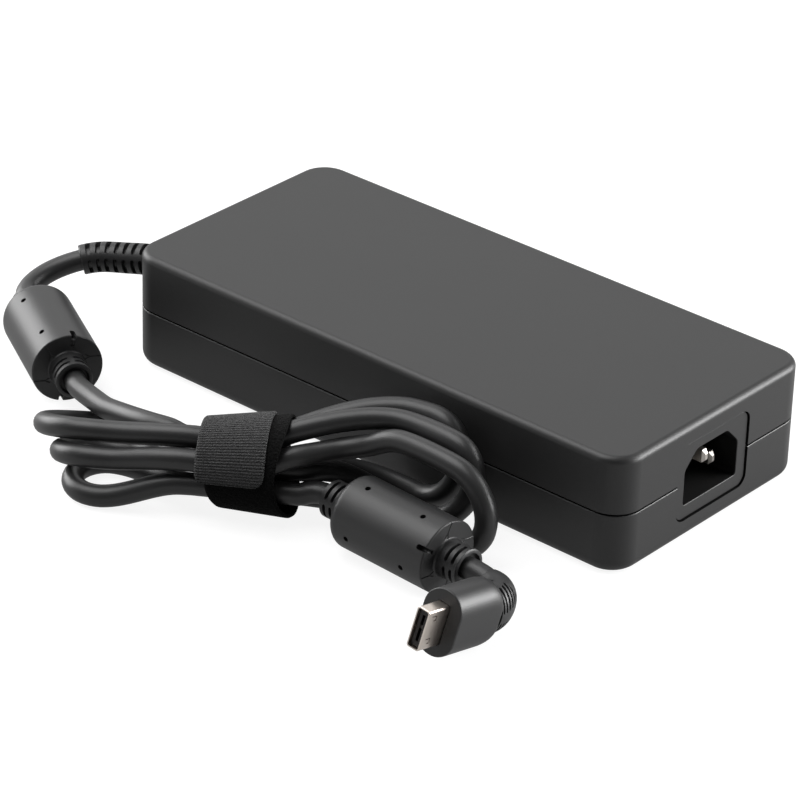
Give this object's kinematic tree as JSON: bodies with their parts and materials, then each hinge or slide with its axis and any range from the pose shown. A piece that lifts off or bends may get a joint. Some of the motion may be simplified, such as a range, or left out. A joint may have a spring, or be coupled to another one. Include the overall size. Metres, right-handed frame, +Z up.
{
  "type": "laptop power adapter",
  "caption": "Dark-grey laptop power adapter with a mains inlet; its fixed output cord runs through ferrite sleeves, is folded into a hank under a hook-and-loop strap and ends in a slim plug.",
  "frame": {"origin": "centre of the case's underside, on the plane the adapter rests on", "axes": "+X along the case towards the mains inlet, +Y across the case away from the folded cord, +Z up"},
  "size_m": [0.2295, 0.162, 0.0371],
  "materials": {
    "case_shell": "fine spark-eroded texture, satin",
    "black_plastic": "plain moulded",
    "nickel": "nickel-plated brass, satin",
    "board": "solder mask over glass laminate",
    "aluminium": "stamped sheet, mill finish",
    "film": "polyester film",
    "thermal_pad": "filled silicone",
    "film_box": "moulded box with cast resin",
    "ceramic": "dipped lacquer",
    "copper": "enamelled copper wire",
    "ferrite": "sintered ferrite, ground faces",
    "tape": "polyester winding tape",
    "can_sleeve": "shrunk sleeve over an aluminium can",
    "epoxy": "moulded epoxy",
    "lead_black": "soft wire insulation",
    "lead_white": "soft wire insulation",
    "lead_green": "soft wire insulation",
    "lead_yellow": "soft wire insulation",
    "cord_jacket": "smooth soft jacket, satin",
    "overmould": "smooth injection overmould, satin",
    "strap_fabric": "woven hook-and-loop tape"
  },
  "bodies": {
    "root": {"upper_cover": "case_shell", "lower_cover": "case_shell", "inlet_housing": "black_plastic", "line_pin": "nickel", "neutral_pin": "nickel", "earth_pin": "nickel", "circuit_board": "board", "lower_heat_spreader": "aluminium", "insulating_sheet": "film", "upper_heat_spreader": "aluminium", "primary_heatsink": "aluminium", "primary_thermal_pad": "thermal_pad", "secondary_heatsink": "aluminium", "secondary_thermal_pad": "thermal_pad", "bridge_rectifier": "epoxy", "power_transistor_1": "epoxy", "power_transistor_2": "epoxy", "power_transistor_3": "epoxy", "output_rectifier_1": "epoxy", "output_rectifier_2": "epoxy", "fuse": "epoxy", "varistor": "ceramic", "mains_filter_capacitor": "film_box", "safety_capacitor_front": "ceramic", "safety_capacitor_rear": "ceramic", "line_choke": "copper", "boost_choke_core": "ferrite", "boost_choke_winding": "copper", "bulk_capacitor_front": "can_sleeve", "bulk_capacitor_rear": "can_sleeve", "transformer_core": "ferrite", "transformer_winding": "tape", "control_board": "board", "optocoupler_right": "epoxy", "optocoupler_left": "epoxy", "output_choke": "copper", "output_capacitor_1": "can_sleeve", "output_capacitor_2": "can_sleeve", "output_capacitor_3": "can_sleeve", "line_lead": "lead_black", "neutral_lead": "lead_white", "earth_lead": "lead_green", "output_lead_positive": "lead_yellow", "output_lead_negative": "lead_black", "cord_boot": "overmould", "cord_case_to_ferrite": "cord_jacket", "ferrite_1_overmould": "overmould", "ferrite_1_core": "ferrite", "ferrite_2_overmould": "overmould", "ferrite_2_core": "ferrite", "cord_hank": "cord_jacket", "hook_strap": "strap_fabric", "cord_ferrite_to_hank": "cord_jacket", "cord_hank_to_ferrite": "cord_jacket", "plug_body": "overmould", "plug_shell": "nickel", "plug_insulator": "black_plastic", "plug_contact": "nickel", "cord_ferrite_to_plug": "cord_jacket", "plug_boot": "overmould"}
  },
  "joints": []
}
